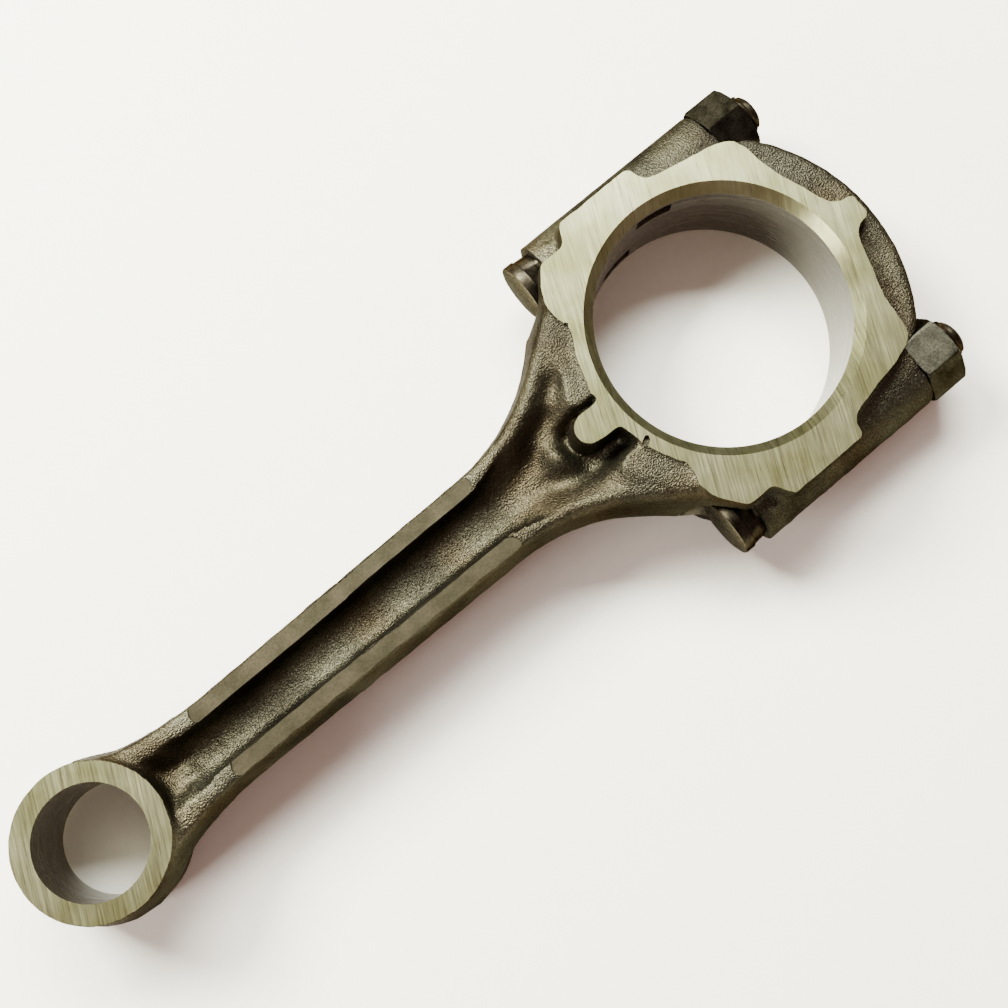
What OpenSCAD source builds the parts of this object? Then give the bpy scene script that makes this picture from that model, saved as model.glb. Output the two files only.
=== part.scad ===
// Connecting rod of a small four-cylinder engine, with its bearing cap, bolts and nuts.
// The origin is the centre of the big-end bore. +X runs along the rod from the small end
// to the cap, +Z runs along both bores, and the rod lies flat on its side faces.

/* [Rod] */
// Distance between the centres of the two bores
centre_distance = 155; // [110:1:220]
// Length of the I-section's flat flange lands, which end this far short of the small-end bore centre
land_start = 28; // [24:0.5:40]
// Distance from the big-end bore centre to where the flanges start to spread
land_end = 60; // [50:1:75]
// Shank width across the flanges, at the small end
shank_w_small = 18.8; // [16:0.2:26]
// Shank width across the flanges, where they start to spread
shank_w_big = 20.2; // [17:0.2:28]
// Shank height over the two flange lands
shank_h = 18; // [14:0.5:24]
// Width of each flange land
land_w = 3.6; // [2.5:0.1:5]
// Thickness of the web between the two pockets
web_t = 5; // [3:0.5:8]
// Radius of the spread from the shank to the big end
flare_r = 40; // [30:1:60]
// Radius of the curve from the shank to the small end
neck_r = 70; // [40:1:120]

/* [Big end] */
// Housing bore, which takes the bearing shells
bore_d = 51; // [40:0.5:66]
// Width over the two ground side faces
big_w = 26; // [20:0.5:32]
// Chamfer at each mouth of the housing bore
bore_chamfer = 2; // [0.5:0.1:3]
// Wall from the housing bore to the rim of the ground side face
ring_wall = 4.9; // [4:0.1:8]
// Half width of the central lug on the rod side and of the pad on the cap
lug_half_w = 3; // [2:0.1:5]
// Reach of the lug past the rim, towards the shank
lug_reach = 7.3; // [4:0.1:10]
// Reach of the cap's pad past the rim
pad_reach = 5; // [3:0.1:8]

/* [Cap] */
// Wall of the cap's arch at its crown, from the housing bore outwards
arch_wall = 14.5; // [9:0.5:20]
// Width of the arch, narrower than the side faces
arch_w = 15; // [10:0.5:20]
// Distance from the parting face to the nut seats
nut_seat_x = 24.5; // [18:0.5:32]
// Distance from the parting face to the bolt head seats on the rod
head_seat_x = 19; // [14:0.5:26]

/* [Small end] */
// Bore for the piston pin, a press fit
pin_d = 22; // [16:0.5:28]
// Wall of the small end at its side faces
small_wall = 4; // [3:0.1:7]
// Width over the small end's side faces
small_w = 24.5; // [18:0.5:32]
// Draft that the forging gains at its middle plane, on each side
draft = 0.9; // [0.4:0.1:1.2]

/* [Bolts and nuts] */
// Bolt diameter, also the thread's major diameter
bolt_d = 9; // [7:0.5:11]
// Metal left between the housing bore and the bolt hole
bolt_wall = 1; // [0.8:0.1:3]
// Metal around the bolt hole in its boss
boss_wall = 2.9; // [2.5:0.1:5]
// Length of bolt that stands out of the nut
bolt_proud = 3.5; // [1:0.5:6]
// Diameter of the bolt head's disc
head_d = 13; // [11:0.5:15]
// Thickness of the bolt head's disc
head_disc_t = 2.4; // [1.5:0.1:4]
// Length of the flatted neck between the disc and its seat
head_neck_t = 3.4; // [2:0.1:5]
// Width over the two flats of the neck
head_flats = 9.6; // [8:0.1:11]
// Nut width across its flats
nut_af = 14; // [12:0.5:18]
// Nut height
nut_h = 8.5; // [6:0.5:11]
// Chamfer at a corner of the nut and at the bolt's point
edge_chamfer = 0.8; // [0.3:0.1:1.2]
// Turn of the nut on the +Y side, from a corner facing up
nut_a_turn = 55; // [0:1:59]
// Turn of the nut on the -Y side, from a corner facing up
nut_b_turn = 23; // [0:1:59]

/* [Fits] */
// Radial clearance of the bolt in the cap's holes
cap_hole_clear = 0.08; // [0.05:0.01:0.1]
// Radial clearance between the nut's bore and the bolt
nut_clear = 0.06; // [0.05:0.01:0.1]
// Radial room for the bolt head in its spotface
head_room = 0.8; // [0.4:0.1:1.5]
// Radial room for the nut's corners in its spotface
nut_room = 0.6; // [0.3:0.1:1.5]

/* [Bearing tang notches] */
// Width of each notch along the bore
tang_w = 4; // [2:0.5:6]
// Depth of each notch into the wall
tang_depth = 1.2; // [0.8:0.1:2]
// Length of each notch around the bore, from the parting face
tang_l = 8; // [5:0.5:10]
// Distance of the cap's notch above the middle plane, and of the rod's notch below it
tang_z = 8; // [3:0.5:8.5]

/* [Hidden] */
$fn = 96;
eps = 0.01;

bore_r = bore_d / 2;
ring_r = bore_r + ring_wall;
small_r = pin_d / 2 + small_wall;
bolt_r = bolt_d / 2;
boss_r = bolt_r + boss_wall;
bolt_y = bore_r + bolt_wall + bolt_r;
lobe_y = bolt_y + 0.5 * boss_r;
nut_corner_r = nut_af / 2 / cos(30);
bolt_end_x = nut_seat_x + nut_h + bolt_proud;
arch_r = bore_r + arch_wall;
lobe_rod_x = 0.7 * head_seat_x;
lobe_cap_x = 0.22 * nut_seat_x;
face_corner_x = head_seat_x + 2.5;
cap_face_x = nut_seat_x + 1.6;
shank_half = shank_w_big / 2;
// The spread's arc turns this far, which takes it into the bolt's shoulder
flare_turn = 56;
flare_end_y = shank_half + flare_r * (1 - cos(flare_turn));
// Centre of the curve that is tangent to the shank's edge and to the small end's boss
neck_y = shank_w_small / 2 + neck_r;
neck_x = -centre_distance + sqrt(pow(neck_r + small_r, 2) - neck_y * neck_y);
neck_turn = acos(neck_y / (neck_r + small_r));
// Run-outs: a cut passes a face by this much
over = 2;
// Slope of the ground faces' corners, along X and across the rod
corner_x = 3;
corner_y = 5;

// Points along an arc about c, from angle a0 to angle a1
function arc(c, r, a0, a1, n = 12) =
    [for (i = [0:n]) let (a = a0 + (a1 - a0) * i / n) c + r * [cos(a), sin(a)]];

// The same points on the other side of the rod, in reverse order
function mirrored(pts) = [for (i = [len(pts) - 1:-1:0]) [pts[i][0], -pts[i][1]]];

module both_sides() {
    children();
    mirror([0, 1, 0]) children();
}

// A cylinder along X that starts at x
module x_cylinder(x, y, r, l) {
    translate([x, y, 0]) rotate([0, 90, 0]) cylinder(r = r, h = l);
}

module slab(h) {
    linear_extrude(height = h, center = true) children();
}

// The half plane on the rod's side of the parting face, or on the cap's side
module rod_half() {
    translate([-centre_distance, -2 * lobe_y]) square([centre_distance, 4 * lobe_y]);
}

module cap_half() {
    translate([0, -2 * lobe_y]) square([2 * arch_r, 4 * lobe_y]);
}

// Outline of the ground side face on the rod: rim, bolt lobes and central lug
module rod_face_outline() {
    half = [
        [0, lobe_y], [-lobe_rod_x, lobe_y], [-lobe_rod_x - corner_x / 2, bolt_y], [-face_corner_x, bolt_y],
        [-face_corner_x - corner_x, bolt_y - corner_y], [-face_corner_x - corner_x, ring_r / 2]
    ];
    intersection() {
        union() {
            circle(r = ring_r);
            polygon(concat(half, mirrored(half)));
            translate([-ring_r - lug_reach + lug_half_w, 0]) circle(r = lug_half_w);
            translate([-ring_r - lug_reach + lug_half_w, -lug_half_w])
                square([lug_reach + bore_r, 2 * lug_half_w]);
        }
        rod_half();
    }
}

// Outline of the ground side face on the cap: rim, bolt lobes and crown pad
module cap_face_outline() {
    half = [
        [0, lobe_y], [lobe_cap_x, lobe_y], [lobe_cap_x + corner_x / 2, bolt_y],
        [cap_face_x - corner_y, bolt_y - corner_x], [cap_face_x, bolt_y - corner_y - corner_x],
        [cap_face_x, ring_r / 2]
    ];
    intersection() {
        union() {
            circle(r = ring_r);
            polygon(concat(half, mirrored(half)));
            translate([0, -lug_half_w]) square([ring_r + pad_reach, 2 * lug_half_w]);
        }
        cap_half();
    }
}

// Housing bore with a chamfer at each mouth
module housing_bore() {
    cylinder(r = bore_r, h = big_w + over, center = true);
    for (side = [0, 180])
        rotate([side, 0, 0]) translate([0, 0, big_w / 2 - bore_chamfer])
            cylinder(r1 = bore_r, r2 = bore_r + bore_chamfer + eps, h = bore_chamfer + eps);
}

// Shank, spread and shoulders as one outline
module shank_outline() {
    top = concat(
        [[-centre_distance, pin_d / 2]],
        arc([neck_x, neck_y], neck_r, -90 - neck_turn, -90),
        arc([-land_end, shank_half + flare_r], flare_r, -90, -90 + flare_turn),
        [[0, flare_end_y]]
    );
    intersection() {
        polygon(concat(top, mirrored(top)));
        rod_half();
    }
}

// Pocket between the flanges, rounded at both ends, as wide as the lands leave it
module pocket_outline() {
    w0 = shank_w_small / 2 - draft - land_w;
    w1 = shank_half - draft - land_w;
    x0 = -centre_distance + small_r + small_wall;
    x1 = -ring_r - lug_reach - over;
    turn = asin((x1 + land_end) / flare_r);
    top = concat(
        arc([x0 + w0, 0], w0, 180, 90, 8),
        arc([-land_end, w1 + flare_r], flare_r, -90, -90 + turn)
    );
    polygon(concat(top, mirrored(top)));
}

module pockets() {
    for (side = [0, 180])
        rotate([side, 0, 0]) translate([0, 0, web_t / 2])
            linear_extrude(height = shank_h) pocket_outline();
}

// Small end: a drafted boss around the pin bore
module small_end() {
    rotate_extrude()
        polygon([[0, -small_w / 2], [small_r, -small_w / 2], [small_r + draft, 0],
                 [small_r, small_w / 2], [0, small_w / 2]]);
}

// Notch for a bearing shell's tang, on the +Y side of the parting face
module tang_notch(side) {
    intersection() {
        translate([side > 0 ? -eps : -tang_l, bore_r * 0.7, side * tang_z - tang_w / 2])
            cube([tang_l + eps, bore_r, tang_w]);
        cylinder(r = bore_r + tang_depth, h = big_w, center = true);
    }
}

module rod_forging() {
    color("#5b5242") difference() {
        union() {
            slab(big_w) rod_face_outline();
            both_sides() {
                x_cylinder(-head_seat_x, bolt_y, boss_r, head_seat_x);
                translate([-head_seat_x, 0, -boss_r]) cube([head_seat_x, bolt_y, 2 * boss_r]);
            }
            difference() {
                slab(shank_h) shank_outline();
                pockets();
            }
            translate([-centre_distance, 0, 0]) small_end();
        }
        housing_bore();
        translate([-centre_distance, 0, 0]) cylinder(r = pin_d / 2, h = small_w + over, center = true);
        both_sides() {
            x_cylinder(-land_end, bolt_y, head_d / 2 + head_room, land_end - head_seat_x);
            x_cylinder(-head_seat_x - over, bolt_y, bolt_r, head_seat_x + 2 * over);
        }
        tang_notch(-1);
    }
}

module bearing_cap() {
    color("#5b5242") difference() {
        union() {
            slab(big_w) cap_face_outline();
            both_sides() {
                x_cylinder(0, bolt_y, boss_r, nut_seat_x);
                translate([0, 0, -boss_r]) cube([nut_seat_x, bolt_y, 2 * boss_r]);
            }
            slab(arch_w) intersection() {
                circle(r = arch_r);
                translate([0, -bolt_y]) square([arch_r, 2 * bolt_y]);
            }
        }
        housing_bore();
        both_sides() {
            x_cylinder(nut_seat_x, bolt_y, nut_corner_r + nut_room, arch_r);
            x_cylinder(-over, bolt_y, bolt_r + cap_hole_clear, nut_seat_x + 2 * over);
        }
        tang_notch(1);
    }
}

// Bolt along X: disc head, flatted neck, plain shank and a chamfered point
module rod_bolt(y) {
    back = head_neck_t + head_disc_t;
    tip = bolt_end_x + head_seat_x;
    color("#3b3a35") translate([-head_seat_x, y, 0]) rotate([0, 90, 0]) union() {
        rotate_extrude()
            polygon([[0, -back], [head_d / 2 - edge_chamfer, -back], [head_d / 2, edge_chamfer - back],
                     [head_d / 2, -head_neck_t], [0, -head_neck_t]]);
        intersection() {
            translate([0, 0, -head_neck_t - eps]) cylinder(d = head_d - edge_chamfer, h = head_neck_t + eps);
            cube([head_flats, head_d, 3 * head_neck_t], center = true);
        }
        rotate_extrude()
            polygon([[0, -eps], [bolt_r, -eps], [bolt_r, tip - edge_chamfer],
                     [bolt_r - edge_chamfer, tip], [0, tip]]);
    }
}

// Hex nut along X, with its corners turned off at the outer end
module cap_nut(y, turn) {
    color("#55503f") translate([nut_seat_x, y, 0]) rotate([0, 90, 0]) difference() {
        intersection() {
            rotate([0, 0, turn]) cylinder(r = nut_corner_r, h = nut_h, $fn = 6);
            rotate_extrude()
                polygon([[0, 0], [nut_corner_r, 0], [nut_corner_r, nut_h - edge_chamfer / 2],
                         [nut_corner_r - edge_chamfer, nut_h], [0, nut_h]]);
        }
        translate([0, 0, -over / 2]) cylinder(r = bolt_r + nut_clear, h = nut_h + over);
    }
}

module rod_bolt_a() { rod_bolt(bolt_y); }

module rod_bolt_b() { rod_bolt(-bolt_y); }

module cap_nut_a() { cap_nut(bolt_y, nut_a_turn); }

module cap_nut_b() { cap_nut(-bolt_y, nut_b_turn); }

rod_forging();
bearing_cap();
rod_bolt_a();
rod_bolt_b();
cap_nut_a();
cap_nut_b();
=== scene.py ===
"""A forged connecting rod with its bearing cap, two bolts and two nuts, lying on a pale table."""

import math

import bmesh
import bpy
import numpy as np
from mathutils import Matrix, Vector


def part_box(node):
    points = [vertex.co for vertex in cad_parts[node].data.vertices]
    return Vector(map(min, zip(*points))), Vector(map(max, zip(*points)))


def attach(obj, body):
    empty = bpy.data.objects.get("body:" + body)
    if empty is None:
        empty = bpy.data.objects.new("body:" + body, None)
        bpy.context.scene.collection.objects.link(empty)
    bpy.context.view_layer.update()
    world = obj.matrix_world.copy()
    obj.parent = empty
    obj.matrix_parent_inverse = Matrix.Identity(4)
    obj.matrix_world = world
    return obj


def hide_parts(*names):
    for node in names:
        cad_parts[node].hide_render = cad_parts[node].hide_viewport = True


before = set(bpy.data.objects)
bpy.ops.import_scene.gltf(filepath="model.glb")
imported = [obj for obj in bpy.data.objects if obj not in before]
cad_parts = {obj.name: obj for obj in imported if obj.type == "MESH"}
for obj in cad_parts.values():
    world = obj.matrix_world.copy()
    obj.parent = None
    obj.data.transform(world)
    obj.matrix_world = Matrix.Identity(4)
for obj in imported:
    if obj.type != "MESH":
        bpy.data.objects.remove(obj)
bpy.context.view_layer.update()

# ---------------------------------------------------------------------------------------------
# Rod forging. The rod is hammered in two closed dies from a medium-carbon steel bar, trimmed of its
# flash, shot-blasted and oiled. Then its side faces are ground, its flanges coined flat, both bores
# finished, and the bolt seats and the parting face milled.

# Sizes in millimetres, in the row's frame: the big-end bore is at the origin
MM = 0.001
big_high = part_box("rod_forging")[1]
bolt_low, bolt_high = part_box("rod_bolt_a")
centre_distance = 155
half_width = big_high.z / MM          # middle plane to a ground side face of the big end
small_half_width = 12.25              # the same at the small end
bore_r = 25.5
bore_chamfer = 2
pin_r = 11
small_r = 15
bolt_y = (bolt_low.y + bolt_high.y) / 2 / MM
bolt_r = 4.5
boss_r = 7.4                          # outside of the boss round a bolt hole
head_seat = 19                        # parting face to the bolt head's seat
head_spot_r = 7.9                     # spotface that the bolt head sits in
tang_depth, tang_reach = 1.2, 18      # a bearing tang's slot: its depth, and its length in degrees
tang_low, tang_high = 6, 10           # and its span away from the middle plane
land_height = 9                       # middle plane to a coined flange land
land_half = 1.9                       # half width of a land
web_half = 2.5
grind_stock = 0.6                     # what the blank stands proud for grinding
skin_wave = 0.1                       # unevenness that hammer scale leaves
draft_slope = 0.13                    # what the dies' side walls lean by
cell = 0.62                           # the forging's skin is drawn with cells of this size


def smooth_max(a, b, k):
    """The larger of two distances, with the corner between them rounded over about k."""
    h = np.clip(0.5 + 0.5 * (a - b) / k, 0, 1)
    return b + (a - b) * h + k * h * (1 - h)


def smooth_min(a, b, k):
    return -smooth_max(-a, -b, k)


def ease(x, start, end):
    """0 before start, 1 after end, with a smooth rise between."""
    t = np.clip((x - start) / (end - start), 0, 1)
    return t * t * (3 - 2 * t)


def outline_distance(x, y, points):
    """Distance to a closed outline, negative inside it."""
    nearest = np.full(np.broadcast(x, y).shape, 1e9)
    inside = np.zeros(nearest.shape, bool)
    for (ax, ay), (bx, by) in zip(points, points[1:] + points[:1]):
        ex, ey = bx - ax, by - ay
        t = np.clip(((x - ax) * ex + (y - ay) * ey) / (ex * ex + ey * ey), 0, 1)
        nearest = np.minimum(nearest, np.hypot(x - ax - ex * t, y - ay - ey * t))
        if ay != by:
            inside ^= ((y >= ay) != (y >= by)) & (x < ax + (y - ay) * ex / ey)
    return np.where(inside, -nearest, nearest)


def arc(cx, cy, r, start, end, steps):
    """Points on an arc, from one angle in degrees to another."""
    turn = [math.radians(start + (end - start) * i / steps) for i in range(steps + 1)]
    return [(cx + r * math.cos(t), cy + r * math.sin(t)) for t in turn]


def both_sides(half):
    """A closed outline from its +Y half, which runs from one end of the middle line to the other."""
    return half + [(x, -y) for x, y in reversed(half) if y > 0.01]


def grid(low, high):
    """The x, y and z of a block of sample points, each ready to spread over the other two."""
    count = [int(math.ceil((b - a) / cell)) + 1 for a, b in zip(low, high)]
    axes = [a + cell * np.arange(n) for a, n in zip(low, count)]
    return axes[0][:, None, None], axes[1][None, :, None], axes[2][None, None, :]


def fill_pinches(field):
    """Fills the places where the skin would touch itself along an edge, so that it bounds a proper solid."""
    planes = [(0, 1), (1, 2), (2, 0)]
    found = True
    while found:
        found = False
        for a, b in planes:
            corner = [[slice(None)] * 3 for _ in range(4)]
            for part, (da, db) in zip(corner, ((0, 0), (1, 0), (1, 1), (0, 1))):
                part[a] = slice(da, field.shape[a] - 1 + da)
                part[b] = slice(db, field.shape[b] - 1 + db)
            c0, c1, c2, c3 = (field[tuple(part)] for part in corner)
            pinch = ((c0 < 0) == (c2 < 0)) & ((c1 < 0) == (c3 < 0)) & ((c0 < 0) != (c1 < 0))
            if pinch.any():
                found = True
                for part in corner:
                    view = field[tuple(part)]
                    view[pinch & (view >= 0)] = -0.1 * cell
    return field


def skin_mesh(name, field, x, y, z):
    """Closed mesh of where the field is zero: a point in each cell that the skin crosses, joined by quads."""
    field = fill_pinches(field.copy())
    corner = np.array([x.flat[0], y.flat[0], z.flat[0]])
    inside = field < 0
    cells = tuple(n - 1 for n in field.shape)
    total = np.zeros(cells + (3,))
    hits = np.zeros(cells)
    crossings = []
    for a in range(3):
        b, c = (a + 1) % 3, (a + 2) % 3
        near = [slice(None)] * 3
        far = [slice(None)] * 3
        near[a], far[a] = slice(0, -1), slice(1, None)
        p = np.argwhere(inside[tuple(near)] != inside[tuple(far)])
        q = p.copy()
        q[:, a] += 1
        f0, f1 = field[tuple(p.T)], field[tuple(q.T)]
        place = p.astype(float)
        place[:, a] += f0 / (f0 - f1)
        around = []
        for db, dc in ((0, 0), (1, 0), (1, 1), (0, 1)):
            cell_at = p.copy()
            cell_at[:, b] -= db
            cell_at[:, c] -= dc
            np.add.at(total, tuple(cell_at.T), place)
            np.add.at(hits, tuple(cell_at.T), 1)
            around.append(cell_at)
        crossings.append((around, inside[tuple(p.T)]))
    used = hits > 0
    number = np.full(cells, -1)
    number[used] = np.arange(used.sum())
    points = corner + cell * total[used] / hits[used][:, None]
    quads = []
    for around, leaves in crossings:
        ring = np.stack([number[tuple(c.T)] for c in around], 1)
        quads += [ring[leaves], ring[~leaves][:, ::-1]]
    quads = np.concatenate(quads)
    # The cells' steps are smoothed out by moving each point towards its neighbours, and a little back again
    ends = np.concatenate([quads[:, [i, (i + 1) % 4]] for i in range(4)])
    share = np.bincount(ends[:, 0], minlength=len(points))[:, None]
    for pull in (0.6, -0.5, 0.6, -0.5, 0.5):
        around = np.stack([np.bincount(ends[:, 0], points[ends[:, 1], a], len(points)) for a in range(3)], 1)
        points = points + pull * (around / share - points)
    mesh = bpy.data.meshes.new(name)
    mesh.vertices.add(len(points))
    mesh.vertices.foreach_set("co", (points * MM).astype(np.float32).ravel())
    mesh.loops.add(quads.size)
    mesh.loops.foreach_set("vertex_index", quads.astype(np.int32).ravel())
    mesh.polygons.add(len(quads))
    mesh.polygons.foreach_set("loop_start", np.arange(0, quads.size, 4, dtype=np.int32))
    mesh.update(calc_edges=True)
    return mesh


def add_object(mesh):
    piece = bpy.data.objects.new(mesh.name, mesh)
    bpy.context.scene.collection.objects.link(piece)
    return piece


def hub_solid(x, y, z, outline):
    """The thick ring of a big-end half, with drafted side walls, left high for grinding."""
    wall = outline_distance(x, y, outline)
    wall = wall - 0.045 * (half_width - np.abs(z))
    return smooth_max(wall, np.abs(z) - half_width - grind_stock, 0.5)


def boss_solid(x, y, z, start, end):
    """The two half-round bosses that the bolts pass through, along X."""
    side = np.abs(y) - bolt_y
    tube = np.hypot(side, z) - boss_r
    block = np.maximum(np.abs(z) - boss_r, side)
    return np.maximum(np.minimum(tube, block), np.maximum(start - x, x - end))


# The rod's half of the ground side face: lobe, notch, bolt shoulder, rim and the lug in the middle
lug_half, lug_end, rim_r = 3.1, 37.7, 29.8
rod_outline = both_sides(
    [(-lug_end, 0)] + arc(-lug_end + lug_half, 0, lug_half, 165, 95, 5)
    + [(-30.3, lug_half + 0.1), (-29.5, 3.9)] + arc(0, 0, rim_r, 172, 145, 8)
    + [(-25.3, 22), (-25.3, 24.3), (-24.2, 26.6), (-22, 29.5), (-20.7, 30.9), (-15.4, 30.9)]
    + [(-14.6, 31.6), (-13.7, 33.4), (-12.6, 34.8), (1, 34.8), (1, 0)]
)


def rod_width(x):
    """Half width of the shank at the middle plane: neck, taper and the flare into the shoulders."""
    neck_r, flare_r, flare_x, neck_half, flare_half = 70, 40, -60, 9.4, 10.1
    neck_y, flare_y = neck_half + neck_r, flare_half + flare_r
    neck_x = -centre_distance + math.sqrt((neck_r + small_r) ** 2 - neck_y ** 2)
    neck = neck_y - np.sqrt(neck_r ** 2 - np.minimum(x - neck_x, 0) ** 2)
    taper = (flare_half - neck_half) * np.clip((x - neck_x) / (flare_x - neck_x), 0, 1)
    reach = np.clip(x - flare_x, 0, 38.4)
    flare = flare_y - np.sqrt(flare_r ** 2 - reach ** 2) - flare_half
    # The flare ends against the ground face's corner, which leans outwards more gently
    corner = 26.0 + np.where(x > -31, 0.78, -0.8) * (x + 26.8)
    return smooth_min(neck + taper + flare, corner, 1.0)


def rod_height(x, y):
    """Height of the rod's upper skin over the middle plane, from the small end to the hub."""
    side = np.abs(y)
    from_hub = np.maximum(np.hypot(x, y) - rim_r, 0)
    to_lug = np.maximum(np.hypot(np.maximum(-lug_end + lug_half - x, 0), side) - lug_half, 0)
    throat = ease(x, -62, -46)
    crest = land_height + 0.35 + 0.25 * ease(x, -122, -130) + 3.3 * ease(x, -50, -25)
    land = 3.6 - 1.9 * throat - 0.6 * ease(x, -128, -142)
    inner = rod_width(x) - 1.2 - land
    # The web rises to the small end's boss, to a spine in the throat, and to the hub beside the lug
    floor = web_half + 3.6 * ease(x, -130, -143) + 3.0 * ease(x, -48, -36)
    beside_lug = np.where(y > 0, ease(y, 2, 6), ease(-y, 5.5, 10))
    floor = floor + 10.4 * np.exp(-(from_hub / 8) ** 2) * beside_lug
    floor = floor + 2.0 * ease(x, -62, -47) * ease(x, -37.5, -42) * np.exp(-(y / 4.6) ** 2)
    # Hills and hollows where the dies were dressed by hand: x, y, half length, half width, height
    hills = [
        (-134, -0.6, 1.7, 1.3, 1.5),
        (-42.6, 0.5, 2.1, 4.2, 2.4),
        (-33.3, -12.2, 4.2, 3.0, 2.4),
        (-32.9, 5.2, 2.0, 1.6, 1.2),
        (-40, 8, 3.4, 2.4, -1.4),
        (-34.5, 11.8, 3.2, 2.6, -2.4),
        (-37.4, -5.4, 3.0, 2.4, -1.2),
    ]
    for hill_x, hill_y, length, width, height in hills:
        floor = floor + height * np.exp(-((x - hill_x) / length) ** 2 - ((y - hill_y) / width) ** 2)
    floor = floor - 1.5 * np.exp(-(to_lug / 2.4) ** 2) * ease(x, -42, -38)
    floor = np.clip(floor, web_half, half_width - 0.45)
    depth = np.clip((inner - side) / (4.7 + 3.3 * throat), 0, 1)
    steep = np.sqrt(1 - (1 - depth) ** 4)
    gentle = depth * depth * (3 - 2 * depth)
    soft = np.maximum(throat, ease(x, -129, -137))
    return crest - (crest - floor) * (steep + (gentle - steep) * soft)


def rod_blank():
    """The rod as it leaves the dies: shank, small end, bosses and hub, a little proud of the finish."""
    low = (-centre_distance - small_r - 2.5, -40.3, -half_width - 1.4)
    x, y, z = grid(low, (2.5, 40.3, half_width + 1.4))
    height = rod_height(x, y)
    slope = np.hypot(*np.gradient(height[:, :, 0], cell))[:, :, None]
    top = (np.abs(z) - height) / np.sqrt(1 + slope * slope)
    flash = 0.25 * np.exp(-(z / 0.7) ** 2)
    draft = draft_slope + 0.12 * ease(x, -36, -26)
    edge = np.abs(y) - rod_width(x) + draft * np.abs(z) - flash
    shank = smooth_max(edge, top, 1.1 + 1.5 * ease(x, -60, -44))
    shank = np.maximum(shank, np.maximum(-centre_distance + 5.4 - x, x + head_seat + 2.5))
    small = np.hypot(x + centre_distance, y) - small_r - 0.9 * (1 - np.abs(z) / small_half_width) - flash
    small = smooth_max(small, np.abs(z) - small_half_width - grind_stock, 0.5)
    shoulder = boss_solid(x, y, z, -head_seat - 1.2, 2)
    # A small pip on each boss, left by the die's vent
    pip = np.sqrt((x + 16) ** 2 + (np.abs(y) - 34) ** 2 + (z - 6.6) ** 2) - 1.0
    shoulder = smooth_min(shoulder, pip, 0.5)
    body = smooth_min(hub_solid(x, y, z, rod_outline), shoulder, 1.4)
    body = smooth_min(body, shank, 1.0 + 0.8 * ease(x, -40, -34) * ease(np.abs(y), 8, 5))
    body = smooth_min(body, small, 1.6)
    body = np.maximum(body, np.abs(z) - half_width - 0.7)
    # Hammer scale left the skin uneven
    wave = np.sin(x * 0.9 + 1.3 * np.sin(y * 0.7)) * np.sin(y * 1.1 + z * 0.8) * np.sin(x * 0.37 + z * 1.3)
    return skin_mesh("rod_forging_skin", body + skin_wave * wave, x, y, z)


def turned(name, profile, centre, axis, steps=96):
    """A closed solid of revolution: profile is (along, radius) in mm, from end to end."""
    bm = bmesh.new()
    angles = [2 * math.pi * i / steps for i in range(steps)]
    rings = []
    for along, r in profile:
        rings.append([bm.verts.new((r * math.cos(a), r * math.sin(a), along)) for a in angles])
    for a, b in zip(rings, rings[1:]):
        for i in range(steps):
            j = (i + 1) % steps
            bm.faces.new((a[i], a[j], b[j], b[i]))
    bm.faces.new(rings[0][::-1])
    bm.faces.new(rings[-1])
    lean = Vector((0, 0, 1)).rotation_difference(Vector(axis)).to_matrix().to_4x4()
    bm.transform(Matrix.Scale(MM, 4) @ Matrix.Translation(Vector(centre)) @ lean)
    bmesh.ops.recalc_face_normals(bm, faces=bm.faces)
    mesh = bpy.data.meshes.new(name)
    bm.to_mesh(mesh)
    bm.free()
    return mesh


def prism(name, outline, low, high):
    """A closed prism on an outline in the XY plane, from one height to another."""
    bm = bmesh.new()
    ends = [[bm.verts.new((x, y, h)) for x, y in outline] for h in (low, high)]
    for i in range(len(outline)):
        j = (i + 1) % len(outline)
        bm.faces.new((ends[0][i], ends[0][j], ends[1][j], ends[1][i]))
    bm.faces.new(ends[0][::-1])
    bm.faces.new(ends[1])
    bm.transform(Matrix.Scale(MM, 4))
    bmesh.ops.recalc_face_normals(bm, faces=bm.faces)
    mesh = bpy.data.meshes.new(name)
    bm.to_mesh(mesh)
    bm.free()
    return mesh


def rectangle(x0, y0, x1, y1):
    return [(x0, y0), (x1, y0), (x1, y1), (x0, y1)]


def machine(piece, finishes, cuts):
    """Cuts each tool's solid out of the piece. A tool leaves its own finish on the faces that it makes."""
    for finish in finishes:
        piece.data.materials.append(finish)
    for finish, tool in cuts:
        for m in finishes:
            tool.materials.append(m)
        tool.polygons.foreach_set("material_index", [finishes.index(finish)] * len(tool.polygons))
        cutter = add_object(tool)
        cut = piece.modifiers.new("cut", "BOOLEAN")
        cut.solver = "MANIFOLD"
        cut.operation = "DIFFERENCE"
        cut.object = cutter
        result = bpy.data.meshes.new_from_object(piece.evaluated_get(bpy.context.evaluated_depsgraph_get()))
        piece.modifiers.remove(cut)
        old, piece.data = piece.data, result
        bpy.data.meshes.remove(old)
        bpy.data.objects.remove(cutter)
        bpy.data.meshes.remove(tool)
    piece.data.name = piece.name
    return piece


def smooth_shade(piece, angle):
    """Smooth shading that breaks at sharp corners, and wherever one finish meets another."""
    piece.data.polygons.foreach_set("use_smooth", [True] * len(piece.data.polygons))
    piece.data.set_sharp_from_angle(angle=math.radians(angle))
    bm = bmesh.new()
    bm.from_mesh(piece.data)
    for edge in bm.edges:
        if len({face.material_index for face in edge.link_faces}) > 1:
            edge.smooth = False
    bm.to_mesh(piece.data)
    bm.free()


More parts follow.
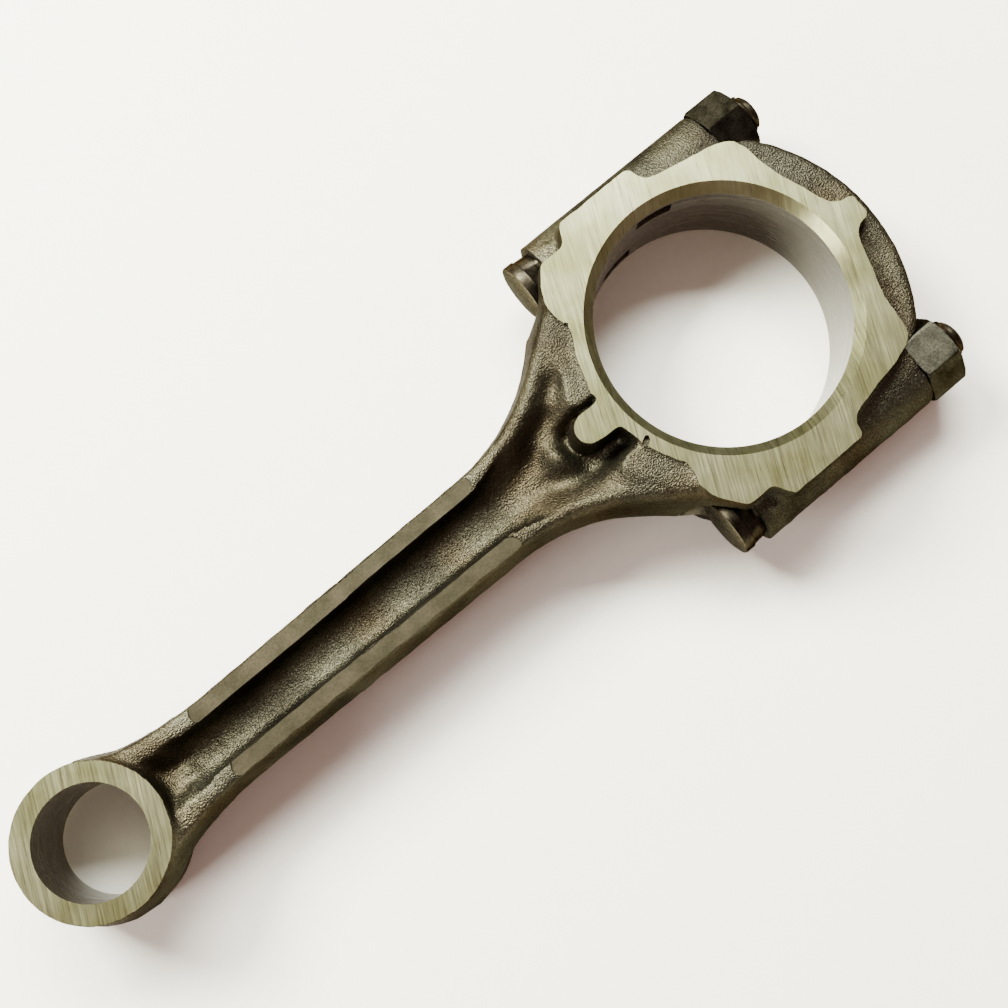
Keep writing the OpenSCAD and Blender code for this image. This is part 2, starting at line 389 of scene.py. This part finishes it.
def linear(code):
    """An sRGB hex colour as the linear colour that a shader takes."""
    parts = [int(code[i:i + 2], 16) / 255 for i in (1, 3, 5)]
    return [c / 12.92 if c <= 0.04045 else ((c + 0.055) / 1.055) ** 2.4 for c in parts] + [1]


def add_node(tree, kind, settings=None, **links):
    """Adds a node. Each link is an output socket or a plain value, for the input of that name, with _ for
    a space, or for the input of that number, as i0."""
    node = tree.nodes.new(kind)
    for key, value in (settings or {}).items():
        setattr(node, key, value)
    for key, value in links.items():
        numbered = key[0] == "i" and key[1:].isdigit()
        target = node.inputs[int(key[1:]) if numbered else key.replace("_", " ")]
        if isinstance(value, bpy.types.NodeSocket):
            tree.links.new(value, target)
        else:
            target.default_value = value
    return node


def new_material(name, **shader):
    """A material with its Principled shader's plain values set, and the tree's Object coordinates."""
    material = bpy.data.materials.new(name)
    material.use_nodes = True
    tree = material.node_tree
    principled = tree.nodes["Principled BSDF"]
    for key, value in shader.items():
        principled.inputs[key.replace("_", " ")].default_value = value
    place = add_node(tree, "ShaderNodeTexCoord").outputs["Object"]
    return material, tree, principled, place


def ramp(tree, value, stops):
    """A colour ramp on a value; stops are (position, hex colour)."""
    node = add_node(tree, "ShaderNodeValToRGB", Fac=value)
    elements = node.color_ramp.elements
    while len(elements) < len(stops):
        elements.new(0.5)
    for element, (position, code) in zip(elements, stops):
        element.position = position
        element.color = linear(code)
    return node.outputs["Color"]


def mix(tree, blend, factor, a, b):
    """Two colours mixed; a Mix node's colour sockets are inputs 6 and 7 and output 2."""
    node = add_node(tree, "ShaderNodeMix", {"data_type": "RGBA", "blend_type": blend}, i0=factor, i6=a, i7=b)
    return node.outputs[2]


# Shot-blasted forged steel: the blast leaves dimples about a third of a millimetre across that glitter, over
# a dark brown-grey oxide with faint warm clouds.
def forged_material(name, light, dark, stain):
    material, tree, shader, place = new_material(
        name, Metallic=1.0, Roughness=0.42, Specular_Tint=linear("#8d8880"))
    dimples = add_node(tree, "ShaderNodeTexNoise", Vector=place, Scale=1 / (0.34 * MM), Detail=1.0,
                       Roughness=0.5)
    grit = add_node(tree, "ShaderNodeTexNoise", Vector=place, Scale=1 / (0.2 * MM), Detail=0.0)
    cloud = add_node(tree, "ShaderNodeTexNoise", Vector=place, Scale=1 / (14 * MM), Detail=2.0, Roughness=0.5)
    base = ramp(tree, cloud.outputs["Fac"], [(0.36, dark), (0.64, light)])
    pits = ramp(tree, dimples.outputs["Fac"], [(0.3, "#d0d0d0"), (0.6, "#ffffff")])
    color = mix(tree, "MULTIPLY", 1.0, base, pits)
    patches = add_node(tree, "ShaderNodeTexNoise", Vector=place, Scale=1 / (19 * MM), Detail=1.0)
    warm = ramp(tree, patches.outputs["Fac"], [(0.45, "#000000"), (0.7, "#ffffff")])
    color = mix(tree, "MIX", warm, color, mix(tree, "MULTIPLY", 1.0, color, linear(stain)))
    tree.links.new(color, shader.inputs["Base Color"])
    rough = add_node(tree, "ShaderNodeMapRange", Value=grit.outputs["Fac"], i1=0.3, i2=0.7, i3=0.33, i4=0.5)
    tree.links.new(rough.outputs["Result"], shader.inputs["Roughness"])
    fine = add_node(tree, "ShaderNodeBump", Strength=0.6, Distance=0.1 * MM, Height=grit.outputs["Fac"])
    coarse = add_node(tree, "ShaderNodeBump", Strength=1.0, Distance=0.26 * MM, Height=dimples.outputs["Fac"],
                      Normal=fine.outputs["Normal"])
    tree.links.new(coarse.outputs["Normal"], shader.inputs["Normal"])
    return material


# Ground steel: the wheel leaves straight lines, nearly across the rod, and a pale warm grey. Real lines are
# about a tenth of a millimetre apart, so they are drawn coarser to show.
def ground_material():
    material, tree, shader, place = new_material("ground_steel_side_face", Metallic=1.0, Roughness=0.36)
    turn = add_node(tree, "ShaderNodeMapping", {"vector_type": "TEXTURE"}, Vector=place,
                    Rotation=(0, 0, math.radians(-25)), Scale=(0.28 * MM, 11 * MM, 8 * MM))
    lines = add_node(tree, "ShaderNodeTexNoise", Vector=turn.outputs["Vector"], Scale=1.0, Detail=4.0,
                     Roughness=0.7)
    cloud = add_node(tree, "ShaderNodeTexNoise", Vector=place, Scale=1 / (9 * MM), Detail=3.0)
    tone = ramp(tree, lines.outputs["Fac"], [(0.3, "#82836a"), (0.7, "#9a9b80")])
    haze = ramp(tree, cloud.outputs["Fac"], [(0.35, "#d9d8c0"), (0.65, "#fffff8")])
    tree.links.new(mix(tree, "MULTIPLY", 1.0, tone, haze), shader.inputs["Base Color"])
    rough = add_node(tree, "ShaderNodeMapRange", Value=lines.outputs["Fac"], i1=0.3, i2=0.7, i3=0.26, i4=0.38)
    tree.links.new(rough.outputs["Result"], shader.inputs["Roughness"])
    bump = add_node(tree, "ShaderNodeBump", Strength=0.15, Distance=0.05 * MM, Height=lines.outputs["Fac"])
    tree.links.new(bump.outputs["Normal"], shader.inputs["Normal"])
    return material


# Honed steel: the bores' walls are smooth, with fine rings left round them by the boring tool. Its tone is
# kept much darker than honed steel, as painted shade inside the bores.
def honed_material():
    material, tree, shader, place = new_material("honed_steel_bore", Metallic=1.0, Roughness=0.3)
    rings = add_node(tree, "ShaderNodeMapping", Vector=place,
                     Scale=(1 / (25 * MM), 1 / (25 * MM), 1 / (0.4 * MM)))
    lines = add_node(tree, "ShaderNodeTexNoise", Vector=rings.outputs["Vector"], Scale=1.0, Detail=3.0,
                     Roughness=0.65)
    # The dark tone is painted shade inside the bores, not the steel's own colour
    tone = ramp(tree, lines.outputs["Fac"], [(0.3, "#4d4a41"), (0.7, "#6b685c")])
    tree.links.new(tone, shader.inputs["Base Color"])
    rough = add_node(tree, "ShaderNodeMapRange", Value=lines.outputs["Fac"], i1=0.3, i2=0.7, i3=0.2, i4=0.36)
    tree.links.new(rough.outputs["Result"], shader.inputs["Roughness"])
    bump = add_node(tree, "ShaderNodeBump", Strength=0.25, Distance=0.03 * MM, Height=lines.outputs["Fac"])
    tree.links.new(bump.outputs["Normal"], shader.inputs["Normal"])
    return material


# Coined steel: pressed flat between dies, so its skin is smooth and dull olive-grey, with a few specks.
def coined_material():
    material, tree, shader, place = new_material("coined_steel_land", Metallic=1.0, Roughness=0.45)
    cloud = add_node(tree, "ShaderNodeTexNoise", Vector=place, Scale=1 / (5 * MM), Detail=4.0, Roughness=0.6)
    grit = add_node(tree, "ShaderNodeTexNoise", Vector=place, Scale=1 / (0.5 * MM), Detail=2.0)
    tone = ramp(tree, cloud.outputs["Fac"], [(0.35, "#38352a"), (0.65, "#474236")])
    specks = ramp(tree, grit.outputs["Fac"], [(0.35, "#e6e6e6"), (0.6, "#ffffff")])
    tree.links.new(mix(tree, "MULTIPLY", 1.0, tone, specks), shader.inputs["Base Color"])
    bump = add_node(tree, "ShaderNodeBump", Strength=0.2, Distance=0.05 * MM, Height=grit.outputs["Fac"])
    tree.links.new(bump.outputs["Normal"], shader.inputs["Normal"])
    return material


# Milled steel: seats and parting faces, darker than the ground faces, with the cutter's coarse marks.
def milled_material():
    material, tree, shader, place = new_material(
        "milled_steel_seat", Metallic=1.0, Roughness=0.4, Specular_Tint=linear("#4e4b44"))
    marks = add_node(tree, "ShaderNodeTexNoise", Vector=place, Scale=1 / (0.6 * MM), Detail=3.0,
                     Roughness=0.6)
    tone = ramp(tree, marks.outputs["Fac"], [(0.3, "#524e43"), (0.7, "#6e6a5c")])
    tree.links.new(tone, shader.inputs["Base Color"])
    bump = add_node(tree, "ShaderNodeBump", Strength=0.3, Distance=0.05 * MM, Height=marks.outputs["Fac"])
    tree.links.new(bump.outputs["Normal"], shader.inputs["Normal"])
    return material


forged_rod = forged_material("shot_blasted_forged_steel_rod", "#4b493d", "#34322a", "#f0dfd2")
ground = ground_material()
honed = honed_material()
coined = coined_material()
milled = milled_material()


def land_strip(side):
    """Outline of one flange's coined land, with round ends."""
    x0, x1 = -125.6, -60.2
    y0, y1 = side * 6.45, side * 7.45
    lean = math.degrees(math.atan2(y1 - y0, x1 - x0))
    return arc(x0, y0, land_half, 270 + lean, 90 + lean, 8) + arc(x1, y1, land_half, 90 + lean, -90 + lean, 8)


def bore_cuts():
    """The big-end bore and the bright chamfer at each mouth of it, cut with the cap bolted up."""
    low, high = bore_r, bore_r + bore_chamfer + 1
    cuts = [(honed, turned("big_end_hone", [(-20, low), (20, low)], (0, 0, 0), (0, 0, 1), 180))]
    for s in (1, -1):
        cone = [(half_width - bore_chamfer, low - 0.02), (half_width + 1, high)]
        cuts.append((ground, turned("big_end_countersink", cone, (0, 0, 0), (0, 0, s), 180)))
    return cuts


def tang_notch(side):
    """The slot for a bearing shell's tang, in the +Y wall of the bore: the cap's is high, the rod's low."""
    end = 90 - side * tang_reach
    outline = arc(0, 0, bore_r + tang_depth, 90, end, 6) + arc(0, 0, bore_r - 1, end, 90, 6)
    return prism("tang_cutter", outline, *sorted((side * tang_low, side * tang_high)))


def outside_of(side, height):
    """The span of heights that a wheel or a punch clears, above the rod or below it."""
    return sorted((side * height, side * (half_width + 5)))


def rod_cuts():
    """What is done to the rod's blank, in the order of the work."""
    cuts = []
    big_at = rectangle(-60, -50, 10, 50)
    small_at = rectangle(-centre_distance - 30, -30, -centre_distance + small_r + 2.5, 30)
    for s in (1, -1):
        cuts.append((ground, prism("big_end_wheel", big_at, *outside_of(s, half_width))))
        cuts.append((ground, prism("small_end_wheel", small_at, *outside_of(s, small_half_width))))
        for side in (1, -1):
            cuts.append((coined, prism("coining_punch", land_strip(side), *outside_of(s, land_height))))
    cuts.append((milled, prism("parting_cutter", rectangle(0, -50, 10, 50), -20, 20)))
    cuts += bore_cuts()
    reamer = turned("pin_reamer", [(-20, pin_r), (20, pin_r)], (-centre_distance, 0, 0), (0, 0, 1), 120)
    cuts.append((honed, reamer))
    spot = [(-40, head_spot_r), (0, head_spot_r)]
    drill = [(-30, bolt_r), (5, bolt_r)]
    for y in (bolt_y, -bolt_y):
        cuts.append((milled, turned("head_spotface", spot, (-head_seat, y, 0), (1, 0, 0))))
        cuts.append((milled, turned("bolt_drill", drill, (0, y, 0), (1, 0, 0), 64)))
    cuts.append((milled, tang_notch(-1)))
    # Two knocks in the ground face: a nick at its edge and a gouge across the rim beside the lug
    nick = turned("nick", [(-0.5, 0.05), (0, 0.6), (0.5, 0.05)], (-24.9, 18.4, half_width), (0, 0, 1), 5)
    cuts.append((forged_rod, nick))
    gouge = [(-29.3, -10.2), (-28.6, -8.4), (-27.4, -7.9), (-26.8, -8.2), (-27.2, -9.2)]
    cuts.append((forged_rod, prism("gouge", gouge, half_width - 0.9, half_width + 1)))
    return cuts


rod = machine(add_object(rod_blank()), [forged_rod, ground, honed, coined, milled], rod_cuts())
rod.name = "rod_forging_skin"
smooth_shade(rod, 32)
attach(rod, "rod")
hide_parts("rod_forging")

# ---------------------------------------------------------------------------------------------
# Rod bolts. Each is forged and turned from alloy steel, quenched and tempered dark, with a disc head
# on a flatted neck, and pressed into the rod. The thread is rolled on the end that the nut takes.

pitch, thread_depth, ridge_r = 1.0, 0.55, 0.52
bolt_end = bolt_high.x / MM
thread_start = 14                     # parting face to where the thread starts
head_disc, head_neck, head_flats = 2.4, 3.4, 9.6
head_back = -head_seat - head_neck - head_disc


def quenched_material(name, light, dark, rough_low, rough_high):
    """Steel left dark by oil quenching: a thin brown-black oxide, rubbed paler here and there."""
    material, tree, shader, place = new_material(
        name, Metallic=1.0, Roughness=0.4, Specular_Tint=linear("#a09a8c"))
    cloud = add_node(tree, "ShaderNodeTexNoise", Vector=place, Scale=1 / (3.5 * MM), Detail=4.0,
                     Roughness=0.6)
    grit = add_node(tree, "ShaderNodeTexNoise", Vector=place, Scale=1 / (0.4 * MM), Detail=2.0)
    tone = ramp(tree, cloud.outputs["Fac"], [(0.36, dark), (0.64, light)])
    specks = ramp(tree, grit.outputs["Fac"], [(0.35, "#c4c4c4"), (0.6, "#ffffff")])
    tree.links.new(mix(tree, "MULTIPLY", 1.0, tone, specks), shader.inputs["Base Color"])
    rough = add_node(tree, "ShaderNodeMapRange", Value=cloud.outputs["Fac"], i1=0.3, i2=0.7, i3=rough_low,
                     i4=rough_high)
    tree.links.new(rough.outputs["Result"], shader.inputs["Roughness"])
    bump = add_node(tree, "ShaderNodeBump", Strength=0.25, Distance=0.06 * MM, Height=grit.outputs["Fac"])
    tree.links.new(bump.outputs["Normal"], shader.inputs["Normal"])
    return material


def thread_nodes(material):
    """A tree that winds a right-hand thread's ridge round a bolt and joins it to the bolt's body."""
    tree = bpy.data.node_groups.new("rolled_thread", "GeometryNodeTree")
    tree.interface.new_socket("Body", in_out="INPUT", socket_type="NodeSocketGeometry")
    for label in ("Pitch", "Turns", "Root Radius", "Ridge"):
        tree.interface.new_socket(label, in_out="INPUT", socket_type="NodeSocketFloat")
    tree.interface.new_socket("Start", in_out="INPUT", socket_type="NodeSocketVector")
    tree.interface.new_socket("Bolt", in_out="OUTPUT", socket_type="NodeSocketGeometry")
    given = add_node(tree, "NodeGroupInput").outputs
    height = add_node(tree, "ShaderNodeMath", {"operation": "MULTIPLY"}, i0=given["Pitch"], i1=given["Turns"])
    helix = add_node(tree, "GeometryNodeCurveSpiral", Resolution=48, Rotations=given["Turns"],
                     Start_Radius=given["Root Radius"], End_Radius=given["Root Radius"],
                     Height=height.outputs[0], Reverse=True)
    ridge = add_node(tree, "GeometryNodeCurvePrimitiveCircle", {"mode": "RADIUS"}, Resolution=6,
                     Radius=given["Ridge"])
    wound = add_node(tree, "GeometryNodeCurveToMesh", Curve=helix.outputs["Curve"],
                     Profile_Curve=ridge.outputs["Curve"], Fill_Caps=True)
    laid = add_node(tree, "GeometryNodeTransform", Geometry=wound.outputs["Mesh"], Translation=given["Start"],
                    Rotation=(0, math.pi / 2, 0))
    joined = add_node(tree, "GeometryNodeJoinGeometry")
    tree.links.new(laid.outputs["Geometry"], joined.inputs[0])
    tree.links.new(given["Body"], joined.inputs[0])
    real = add_node(tree, "GeometryNodeRealizeInstances", Geometry=joined.outputs["Geometry"])
    painted = add_node(tree, "GeometryNodeSetMaterial", Geometry=real.outputs["Geometry"], Material=material)
    result = add_node(tree, "NodeGroupOutput")
    tree.links.new(painted.outputs["Geometry"], result.inputs[0])
    return tree


def bolt_body(name, y):
    """Disc head, neck, shank, thread root and a chamfered point, turned about the bolt's axis."""
    head_r = (bolt_high.z - bolt_low.z) / 2 / MM
    root = bolt_r - thread_depth
    front = head_back + head_disc
    profile = [
        (head_back, 0.01), (head_back, head_r - 0.45), (head_back + 0.12, head_r - 0.15),
        (head_back + 0.35, head_r), (front - 0.2, head_r), (front, head_r - 0.25), (front, 6.2),
        (-head_seat - 0.6, 6.0), (-head_seat, 5.6), (-head_seat, bolt_r),
        (thread_start - 1, bolt_r), (thread_start, root), (bolt_end - 1.1, root),
        (bolt_end - 0.5, root - 0.15), (bolt_end, root - 0.8), (bolt_end, 0.01),
    ]
    mesh = turned(name, profile, (0, y, 0), (1, 0, 0), 72)
    for v in mesh.vertices:
        along, z = v.co.x / MM, v.co.z / MM
        if front + 0.01 < along < -head_seat - 0.01:
            v.co.z = max(-head_flats / 2, min(head_flats / 2, z)) * MM
    return mesh


quenched_bolt = quenched_material("quenched_oiled_bolt_steel", "#3d382f", "#26231d", 0.3, 0.46)
thread_tree = thread_nodes(quenched_bolt)
for name, y in (("rod_bolt_a", bolt_y), ("rod_bolt_b", -bolt_y)):
    bolt = add_object(bolt_body(name + "_threaded", y))
    wind = bolt.modifiers.new("thread", "NODES")
    wind.node_group = thread_tree
    sizes = {
        "Pitch": pitch * MM,
        "Turns": (bolt_end - 1.2 - thread_start) / pitch,
        "Root Radius": (bolt_r - thread_depth) * MM,
        "Ridge": ridge_r * MM,
        "Start": (thread_start * MM, y * MM, 0),
    }
    for item in thread_tree.interface.items_tree:
        if item.name in sizes:
            wind[item.identifier] = sizes[item.name]
    result = bpy.data.meshes.new_from_object(bolt.evaluated_get(bpy.context.evaluated_depsgraph_get()))
    bolt.modifiers.remove(wind)
    bolt.data = result
    # The head's outer face is machined bright; the rest keeps the finish that the tree gives
    result.materials.clear()
    for finish in (quenched_bolt, milled):
        result.materials.append(finish)
    for face in result.polygons:
        face.material_index = int(face.center.x < (head_back + 0.1) * MM and face.normal.x < -0.9)
    smooth_shade(bolt, 35)
    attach(bolt, "rod")
    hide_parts(name)

# ---------------------------------------------------------------------------------------------
# Bearing cap. It is forged of the same steel as the rod and machined with it: the cap is bolted up,
# and then both side faces are ground and the bore honed through the pair. An arched rib stiffens it.

arch_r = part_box("bearing_cap")[1].x / MM
arch_half = 7.3                       # half width of the arched rib
nut_seat = 24.5                       # parting face to the nuts' seats
nut_spot_r = 8.7                      # spotface that a nut sits in
cap_hole_r = bolt_r + 0.08            # the bolts' holes, an easy fit
cap_outline = both_sides(
    [(-1, 0), (-1, 34.8), (4.3, 34.8), (5.2, 34.0), (5.6, 32.2), (6.6, 30.9), (8.3, 30.3), (12.7, 29.3)]
    + [(19.5, 28.1), (23.2, 26.9), (24.9, 25.6), (25.9, 22.8), (26.2, 19.0)]
    + [(27.2, 14.6), (29.1, 9.6), (30.3, 5.9), (31.3, 4), (32.8, 3), (34.8, 2.7), (35.4, 2.1), (35.4, 0)]
)


def cap_blank():
    """The cap as it leaves the dies: arched rib, bosses and hub."""
    low = (-2.5, -40.3, -half_width - 1.4)
    x, y, z = grid(low, (arch_r + 1.6, 40.3, half_width + 1.4))
    side = np.abs(y)
    reach = np.hypot(x, y)
    crown = arch_r - 0.15 - 0.9 * (np.abs(z) / arch_half) ** 2
    dish = 0.5 * np.exp(-((reach - 34.5) / 2.5) ** 2)
    rib = smooth_max(reach - crown, np.abs(z) - arch_half + dish, 1.6)
    rib = np.maximum(rib, side - bolt_y)
    shoulder = boss_solid(x, y, z, -2, nut_seat)
    body = smooth_min(hub_solid(x, y, z, cap_outline), smooth_min(rib, shoulder, 1.5), 1.4)
    body = np.maximum(np.maximum(body, np.abs(z) - half_width - 0.7), -1 - x)
    wave = np.sin(x * 0.8 + 1.1 * np.sin(y * 0.9)) * np.sin(y * 1.2 + z * 0.7) * np.sin(x * 0.41 + z * 1.2)
    return skin_mesh("bearing_cap_skin", body + skin_wave * wave, x, y, z)


def cap_cuts():
    """What is done to the cap's blank; the wheel and the hone take it together with the rod."""
    cuts = [(milled, prism("parting_cutter", rectangle(-10, -50, 0, 50), -20, 20))]
    for s in (1, -1):
        cuts.append((ground, prism("big_end_wheel", rectangle(-10, -50, 60, 50), *outside_of(s, half_width))))
    cuts += bore_cuts()
    spot = [(0, nut_spot_r), (30, nut_spot_r)]
    drill = [(-5, cap_hole_r), (40, cap_hole_r)]
    for y in (bolt_y, -bolt_y):
        cuts.append((milled, turned("nut_spotface", spot, (nut_seat, y, 0), (1, 0, 0))))
        cuts.append((milled, turned("cap_drill", drill, (0, y, 0), (1, 0, 0), 64)))
    cuts.append((milled, tang_notch(1)))
    return cuts


forged_cap = forged_material("shot_blasted_forged_steel_cap", "#434238", "#2f2d27", "#f0e1d6")
cap = machine(add_object(cap_blank()), [forged_cap, ground, honed, coined, milled], cap_cuts())
cap.name = "bearing_cap_skin"
smooth_shade(cap, 32)
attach(cap, "cap")
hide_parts("bearing_cap")

# ---------------------------------------------------------------------------------------------
# Cap nuts. Plain hex nuts of quenched steel, cold-formed, with their corners turned off at the outer
# end. They screw onto the bolts' threads and seat straight on the cap.

nut_af, nut_height = 14, 8.5          # over the flats, and along the bolt
nut_chamfer = 0.85
nut_bore_r = bolt_r + 0.08            # over the tops of the nut's thread
nut_thread_depth = 0.42


def nut_mesh(name, y, corner_turn):
    """A nut as rings of points: up the outside, whose corners are chamfered, and down the threaded bore."""
    steps = 144
    angles = [2 * math.pi * i / steps for i in range(steps)]
    corner = nut_af / 2 / math.cos(math.pi / 6)
    start = math.radians(corner_turn)

    def outside(h):
        rim = corner + 0.05 - max(0, h - nut_height + nut_chamfer * 0.6) / math.tan(math.radians(32))
        rim = min(rim, corner + 0.05 - max(0, 0.25 - h) * 2)
        return [min(nut_af / 2 / math.cos((a - start) % (math.pi / 3) - math.pi / 6), rim) for a in angles]

    def inside(h):
        mouth = max(0, h - nut_height + 0.6, 0.6 - h)
        rings = []
        for a in angles:
            phase = (h / pitch - a / (2 * math.pi)) % 1
            rings.append(nut_bore_r + max(nut_thread_depth * (1 - abs(2 * phase - 1)), mouth))
        return rings

    up = [0, 0.12, 0.25] + [nut_height - nut_chamfer * 0.6 * (1 - i / 6) for i in range(7)]
    down = [nut_height - i * nut_height / 68 for i in range(69)]
    rings = [(h, outside(h)) for h in up] + [(h, inside(h)) for h in down]
    bm = bmesh.new()
    loops = []
    for h, radii in rings:
        loops.append([
            bm.verts.new(((nut_seat + h) * MM, (y + r * math.cos(a)) * MM, r * math.sin(a) * MM))
            for r, a in zip(radii, angles)
        ])
    for a, b in zip(loops, loops[1:] + loops[:1]):
        for i in range(steps):
            j = (i + 1) % steps
            bm.faces.new((a[i], a[j], b[j], b[i]))
    bmesh.ops.recalc_face_normals(bm, faces=bm.faces)
    mesh = bpy.data.meshes.new(name)
    bm.to_mesh(mesh)
    bm.free()
    return mesh


quenched_nut = quenched_material("quenched_oiled_nut_steel", "#35342d", "#22211c", 0.3, 0.44)
for name, y, turn, body in (("cap_nut_a", bolt_y, 25, "nut_a"), ("cap_nut_b", -bolt_y, 53, "nut_b")):
    nut = add_object(nut_mesh(name + "_hex", y, turn))
    nut.data.materials.append(quenched_nut)
    smooth_shade(nut, 25)
    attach(nut, body)
    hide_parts(name)

# ---------------------------------------------------------------------------------------------
# The table and the light. The table is painted matt white, and is large enough to reach the horizon.
# A window and a soft ceiling light stand behind it, a weak lamp stands past the small end, and a pale
# warm room fills the shadows.

floor_material, tree, shader, place = new_material(
    "matt_white_painted_table", Roughness=0.9, Specular_IOR_Level=0.2)
grain = add_node(tree, "ShaderNodeTexNoise", Vector=place, Scale=1 / (3 * MM), Detail=2.0)
paint = ramp(tree, grain.outputs["Fac"], [(0.0, "#f1eeea"), (1.0, "#f6f3f0")])
tree.links.new(paint, shader.inputs["Base Color"])
table_reach, table_thickness = 20000, 20
table_at = rectangle(-table_reach, -table_reach, table_reach, table_reach)
floor = add_object(prism("table", table_at, -half_width - table_thickness, -half_width))
floor.data.materials.append(floor_material)


def soft_light(name, place, size, power, color):
    """A rectangular lamp that shines on the middle of the rod."""
    lamp = bpy.data.lights.new(name, "AREA")
    lamp.shape = "RECTANGLE"
    lamp.size, lamp.size_y = size
    lamp.energy = power
    lamp.color = linear(color)[:3]
    holder = bpy.data.objects.new(name, lamp)
    bpy.context.scene.collection.objects.link(holder)
    holder.location = place
    aim = Vector((-0.05, 0, 0))
    holder.rotation_euler = (aim - Vector(place)).to_track_quat("-Z", "Y").to_euler()


soft_light("window", (-0.25, 0.62, 0.6), (0.4, 0.3), 44, "#fdffec")
soft_light("ceiling", (0.35, 0.64, 1.0), (0.7, 0.4), 47, "#fdfff2")
soft_light("side_lamp", (-0.95, 0.12, 0.42), (0.3, 0.25), 8, "#fffbee")
world = bpy.data.worlds.new("studio")
world.use_nodes = True
room = world.node_tree.nodes["Background"]
room.inputs["Color"].default_value = linear("#fbd3c3")
room.inputs["Strength"].default_value = 0.5
bpy.context.scene.world = world

# The camera looks down on the rod from over its shank, turned so that the rod runs from low left to high
# right, and leans a little from the vertical
turn, tilt, swing = math.radians(39.96), math.radians(9.12), math.radians(-1.09)
right = Vector((math.cos(turn), -math.sin(turn), 0))
up = Vector((math.sin(turn), math.cos(turn), 0))
ahead = Vector((0, 0, -1))
ahead.rotate(Matrix.Rotation(tilt, 3, right))
up.rotate(Matrix.Rotation(tilt, 3, right))
ahead.rotate(Matrix.Rotation(swing, 3, up))
right.rotate(Matrix.Rotation(swing, 3, up))
lens = bpy.data.cameras.new("camera")
lens.sensor_width = 36
lens.lens = 58.14
lens.clip_start = 0.01
camera = bpy.data.objects.new("camera", lens)
bpy.context.scene.collection.objects.link(camera)
facing = Matrix((right, up, -ahead)).transposed().to_4x4()
camera.matrix_world = Matrix.Translation((-0.0925, -0.0344, 0.3175)) @ facing
bpy.context.scene.camera = camera
